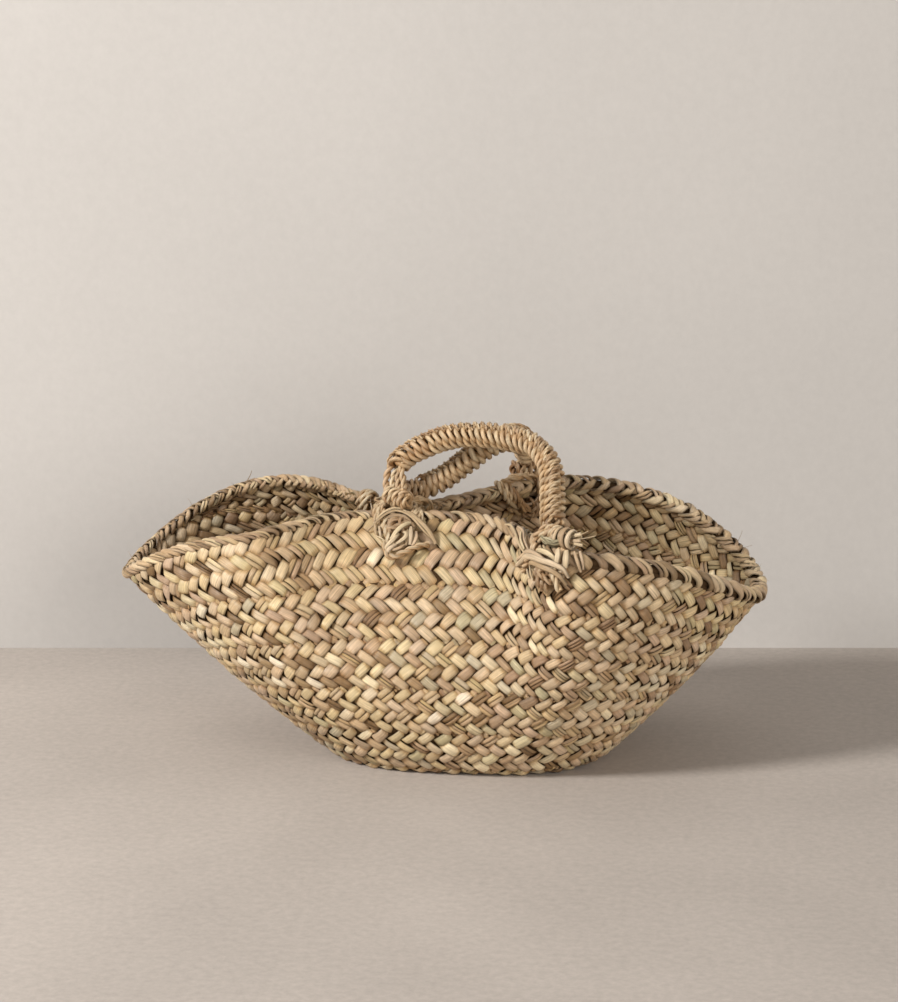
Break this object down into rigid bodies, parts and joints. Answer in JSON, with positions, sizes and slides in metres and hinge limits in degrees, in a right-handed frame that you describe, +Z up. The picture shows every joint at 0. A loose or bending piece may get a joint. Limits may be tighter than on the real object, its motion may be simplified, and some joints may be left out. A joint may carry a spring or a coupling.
{
  "type": "palm leaf basket",
  "caption": "Soft two-lobed shopping basket sewn from one long leaf plait, with two rope handles tied to the rim that swing over the mouth.",
  "frame": {"origin": "centre of the bounding box over the floor, at the height the base rests on", "axes": "+X along the mouth's long side towards the wider lobe's tip, -Y towards the front with the longer handle, +Z up"},
  "size_m": [0.4596, 0.2346, 0.2333],
  "materials": {
    "plait": "dry plaited palm leaf, pale straw with tan and grey-green strips, matt with a faint leaf sheen",
    "rim_plait": "dry palm leaf folded over the edge, pale straw, matt",
    "sewing_cord": "twisted leaf fibre, tan, matt",
    "root_cord": "twisted leaf cord and flat leaf strands, pale straw, matt",
    "handle_core": "bundle of twisted leaf cords, brownish tan, matt",
    "handle_wrap": "two-ply twisted leaf cord wound close, straw with brown in the hollows, matt"
  },
  "bodies": {
    "basket": {"base_centre": "plait", "base_turn_1": "plait", "base_turn_2": "plait", "wall_turn_1": "plait", "wall_turn_2": "plait", "wall_turn_3": "plait", "wall_turn_4": "plait", "wall_turn_5": "plait", "seam_cord_1": "sewing_cord", "seam_cord_2": "sewing_cord", "seam_cord_3": "sewing_cord", "seam_cord_4": "sewing_cord", "seam_cord_5": "sewing_cord", "seam_cord_6": "sewing_cord", "seam_cord_7": "sewing_cord", "rim_cord": "rim_plait", "front_left_knot": "root_cord", "front_right_knot": "root_cord", "back_left_knot": "root_cord", "back_right_knot": "root_cord", "front_left_lashing": "root_cord", "front_right_lashing": "root_cord", "back_left_lashing": "root_cord", "back_right_lashing": "root_cord"},
    "front_handle": {"front_handle_core": "handle_core", "front_handle_wrap": "handle_wrap", "front_handle_end": "handle_core", "front_handle_strand_1": "handle_core", "front_handle_strand_2": "handle_core", "front_handle_strand_3": "handle_core", "front_handle_strand_4": "handle_core"},
    "back_handle": {"back_handle_core": "handle_core", "back_handle_wrap": "handle_wrap"}
  },
  "joints": [
    {"name": "front_handle_swing", "type": "hinge", "parent": "basket", "child": "front_handle", "pos_m": [-0.0274, -0.01227, 0.17886], "axis": [0.8086, -0.5882, -0.0116], "range_deg": [0, 115]},
    {"name": "back_handle_swing", "type": "hinge", "parent": "basket", "child": "back_handle", "pos_m": [-0.02127, 0.01735, 0.17908], "axis": [-0.8337, -0.548, -0.0678], "range_deg": [0, 115]}
  ]
}
